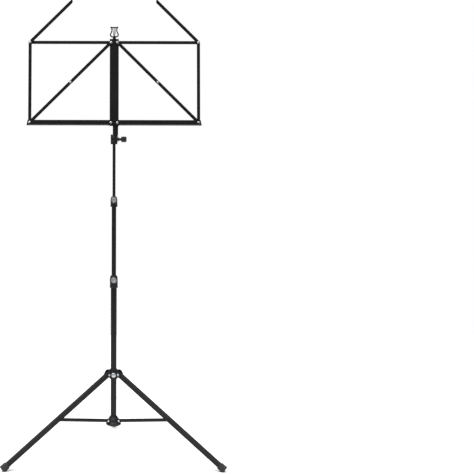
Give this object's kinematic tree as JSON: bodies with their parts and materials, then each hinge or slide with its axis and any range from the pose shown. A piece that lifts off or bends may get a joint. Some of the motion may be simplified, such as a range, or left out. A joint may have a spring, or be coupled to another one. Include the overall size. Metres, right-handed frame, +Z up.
{
  "type": "folding music stand",
  "caption": "Folding tripod music stand with a telescoping column, knob clamps and a tilting open-frame desk with a lipped shelf, page arms and a lyre finial.",
  "frame": {"origin": "middle of the floor area that the stand covers, on the floor; the column stands 83 mm towards -Y of it, because the rear leg points to +Y", "axes": "+Z up along the column, the player stands on the -Y side, +X to the player's right, the rear leg points to +Y"},
  "size_m": [0.6008, 0.5212, 1.2368],
  "materials": {
    "black_paint": "satin",
    "black_plastic": "satin moulded",
    "guide_plastic": "moulded",
    "bright_zinc": "bright zinc plated",
    "foot_rubber": "matte moulded"
  },
  "bodies": {
    "base": {"lower_tube": "black_paint", "lower_hub": "black_plastic", "lower_clamp": "black_plastic", "strut_hub_pin_left": "bright_zinc", "strut_hub_pin_right": "bright_zinc", "strut_hub_pin_rear": "bright_zinc"},
    "leg_slider": {"hub_slider": "black_plastic", "leg_pivot_pin_left": "bright_zinc", "leg_pivot_pin_right": "bright_zinc", "leg_pivot_pin_rear": "bright_zinc"},
    "hub_knob": {"hub_knob": "bright_zinc"},
    "leg_left": {"leg_left": "black_paint", "foot_left": "foot_rubber", "strut_leg_pin_left": "bright_zinc"},
    "leg_right": {"leg_right": "black_paint", "foot_right": "foot_rubber", "strut_leg_pin_right": "bright_zinc"},
    "leg_rear": {"leg_rear": "black_paint", "foot_rear": "foot_rubber", "strut_leg_pin_rear": "bright_zinc"},
    "strut_left": {"strut_left": "black_paint"},
    "strut_right": {"strut_right": "black_paint"},
    "strut_rear": {"strut_rear": "black_paint"},
    "lower_clamp_knob": {"lower_clamp_knob": "black_plastic"},
    "middle_tube": {"middle_tube": "black_paint", "middle_tube_guide": "guide_plastic", "upper_clamp": "black_plastic"},
    "upper_clamp_knob": {"upper_clamp_knob": "black_plastic"},
    "upper_rod": {"upper_rod": "black_paint", "upper_rod_guide": "guide_plastic"},
    "tilt_head": {"tilt_head": "black_plastic"},
    "tilt_knob": {"tilt_knob": "black_plastic"},
    "desk": {"tilt_bracket": "black_paint", "centre_channel": "black_paint", "lyre_finial": "black_paint", "shelf_rivet_left": "bright_zinc", "shelf_rivet_right": "bright_zinc", "top_bar_rivet_left": "bright_zinc", "top_bar_rivet_right": "bright_zinc"},
    "shelf_left": {"shelf_left": "black_paint", "shelf_corner_rivet_left": "bright_zinc"},
    "side_bar_left": {"side_bar_left": "black_paint"},
    "lower_brace_left": {"lower_brace_left": "black_paint", "brace_rivet_left": "bright_zinc"},
    "top_bar_left": {"top_bar_left": "black_paint", "top_corner_rivet_left": "bright_zinc"},
    "upper_brace_left": {"upper_brace_left": "black_paint"},
    "page_arm_left": {"page_arm_left": "black_paint"},
    "shelf_right": {"shelf_right": "black_paint", "shelf_corner_rivet_right": "bright_zinc"},
    "side_bar_right": {"side_bar_right": "black_paint"},
    "lower_brace_right": {"lower_brace_right": "black_paint", "brace_rivet_right": "bright_zinc"},
    "top_bar_right": {"top_bar_right": "black_paint", "top_corner_rivet_right": "bright_zinc"},
    "upper_brace_right": {"upper_brace_right": "black_paint"},
    "page_arm_right": {"page_arm_right": "black_paint"}
  },
  "joints": [
    {"name": "leg_fold", "type": "slide", "parent": "base", "child": "leg_slider", "axis": [0, 0, 1], "range_m": [0, 0.213]},
    {"name": "leg_swing_left", "type": "hinge", "parent": "leg_slider", "child": "leg_left", "pos_m": [-0.01559, -0.09201, 0.227], "axis": [0.5, -0.866, 0], "range_deg": [0, 51]},
    {"name": "leg_swing_right", "type": "hinge", "parent": "leg_slider", "child": "leg_right", "pos_m": [0.01559, -0.09201, 0.227], "axis": [0.5, 0.866, 0], "range_deg": [0, 51]},
    {"name": "leg_swing_rear", "type": "hinge", "parent": "leg_slider", "child": "leg_rear", "pos_m": [0, -0.065, 0.227], "axis": [-1, 0, 0], "range_deg": [0, 51]},
    {"name": "strut_swing_left", "type": "hinge", "parent": "base", "child": "strut_left", "pos_m": [-0.01775, -0.09326, 0.0996], "axis": [-0.5, 0.866, 0], "range_deg": [0, 78]},
    {"name": "strut_swing_right", "type": "hinge", "parent": "base", "child": "strut_right", "pos_m": [0.01775, -0.09326, 0.0996], "axis": [-0.5, -0.866, 0], "range_deg": [0, 78]},
    {"name": "strut_swing_rear", "type": "hinge", "parent": "base", "child": "strut_rear", "pos_m": [0, -0.06251, 0.0996], "axis": [1, 0, 0], "range_deg": [0, 78]},
    {"name": "hub_knob_turn", "type": "hinge", "parent": "leg_slider", "child": "hub_knob", "pos_m": [0, -0.101, 0.227], "axis": [0, 1, 0], "continuous": true},
    {"name": "lower_clamp_knob_turn", "type": "hinge", "parent": "base", "child": "lower_clamp_knob", "pos_m": [0, -0.101, 0.487], "axis": [0, 1, 0], "continuous": true},
    {"name": "lower_extension", "type": "slide", "parent": "base", "child": "middle_tube", "axis": [0, 0, -1], "range_m": [-0.134, 0.18]},
    {"name": "upper_clamp_knob_turn", "type": "hinge", "parent": "middle_tube", "child": "upper_clamp_knob", "pos_m": [0, -0.101, 0.704], "axis": [0, 1, 0], "continuous": true},
    {"name": "upper_extension", "type": "slide", "parent": "middle_tube", "child": "upper_rod", "axis": [0, 0, -1], "range_m": [-0.19, 0.135]},
    {"name": "desk_swivel", "type": "hinge", "parent": "upper_rod", "child": "tilt_head", "pos_m": [0, -0.083, 0.854], "axis": [0, 0, 1], "continuous": true},
    {"name": "tilt_knob_turn", "type": "hinge", "parent": "tilt_head", "child": "tilt_knob", "pos_m": [0.02, -0.083, 0.864], "axis": [1, 0, 0], "continuous": true},
    {"name": "desk_tilt", "type": "hinge", "parent": "tilt_head", "child": "desk", "pos_m": [0, -0.083, 0.864], "axis": [-1, 0, 0], "range_deg": [-20, 75]},
    {"name": "shelf_fold_left", "type": "hinge", "parent": "desk", "child": "shelf_left", "pos_m": [-0.0086, -0.08833, 0.90868], "axis": [0, 0.9781, -0.2079], "range_deg": [0, 86]},
    {"name": "side_bar_turn_left", "type": "hinge", "parent": "shelf_left", "child": "side_bar_left", "pos_m": [-0.2246, -0.08833, 0.90868], "axis": [0, -0.9781, 0.2079], "range_deg": [0, 86.5]},
    {"name": "lower_brace_turn_left", "type": "hinge", "parent": "shelf_left", "child": "lower_brace_left", "pos_m": [-0.2246, -0.08833, 0.90868], "axis": [0, 0.9781, -0.2079], "range_deg": [0, 44.5]},
    {"name": "top_bar_turn_left", "type": "hinge", "parent": "desk", "child": "top_bar_left", "pos_m": [-0.0086, -0.04342, 1.11996], "axis": [0, 0.9781, -0.2079], "range_deg": [0, 86.5]},
    {"name": "upper_brace_turn_left", "type": "hinge", "parent": "desk", "child": "upper_brace_left", "pos_m": [-0.0086, -0.04342, 1.11996], "axis": [0, -0.9781, 0.2079], "range_deg": [0, 44.5]},
    {"name": "page_arm_turn_left", "type": "hinge", "parent": "top_bar_left", "child": "page_arm_left", "pos_m": [-0.2246, -0.04342, 1.11996], "axis": [0, 0.9781, -0.2079], "range_deg": [-90, 45]},
    {"name": "shelf_fold_right", "type": "hinge", "parent": "desk", "child": "shelf_right", "pos_m": [0.0086, -0.08833, 0.90868], "axis": [0, -0.9781, 0.2079], "range_deg": [0, 86]},
    {"name": "side_bar_turn_right", "type": "hinge", "parent": "shelf_right", "child": "side_bar_right", "pos_m": [0.2246, -0.08833, 0.90868], "axis": [0, 0.9781, -0.2079], "range_deg": [0, 86.5]},
    {"name": "lower_brace_turn_right", "type": "hinge", "parent": "shelf_right", "child": "lower_brace_right", "pos_m": [0.2246, -0.08833, 0.90868], "axis": [0, -0.9781, 0.2079], "range_deg": [0, 44.5]},
    {"name": "top_bar_turn_right", "type": "hinge", "parent": "desk", "child": "top_bar_right", "pos_m": [0.0086, -0.04342, 1.11996], "axis": [0, -0.9781, 0.2079], "range_deg": [0, 86.5]},
    {"name": "upper_brace_turn_right", "type": "hinge", "parent": "desk", "child": "upper_brace_right", "pos_m": [0.0086, -0.04342, 1.11996], "axis": [0, 0.9781, -0.2079], "range_deg": [0, 44.5]},
    {"name": "page_arm_turn_right", "type": "hinge", "parent": "top_bar_right", "child": "page_arm_right", "pos_m": [0.2246, -0.04342, 1.11996], "axis": [0, -0.9781, 0.2079], "range_deg": [-90, 45]}
  ],
  "couplings": [
    {"joint": "leg_swing_left", "follows": "leg_fold", "rad_per_m": 4.165},
    {"joint": "leg_swing_right", "follows": "leg_fold", "rad_per_m": 4.165},
    {"joint": "leg_swing_rear", "follows": "leg_fold", "rad_per_m": 4.165},
    {"joint": "strut_swing_left", "follows": "leg_fold", "rad_per_m": 6.3684},
    {"joint": "strut_swing_right", "follows": "leg_fold", "rad_per_m": 6.3684},
    {"joint": "strut_swing_rear", "follows": "leg_fold", "rad_per_m": 6.3684},
    {"joint": "side_bar_turn_left", "follows": "shelf_fold_left", "ratio": 1},
    {"joint": "lower_brace_turn_left", "follows": "shelf_fold_left", "ratio": 0.51361},
    {"joint": "top_bar_turn_left", "follows": "shelf_fold_left", "ratio": 1},
    {"joint": "upper_brace_turn_left", "follows": "shelf_fold_left", "ratio": 0.51361},
    {"joint": "side_bar_turn_right", "follows": "shelf_fold_right", "ratio": 1},
    {"joint": "lower_brace_turn_right", "follows": "shelf_fold_right", "ratio": 0.51361},
    {"joint": "top_bar_turn_right", "follows": "shelf_fold_right", "ratio": 1},
    {"joint": "upper_brace_turn_right", "follows": "shelf_fold_right", "ratio": 0.51361}
  ]
}
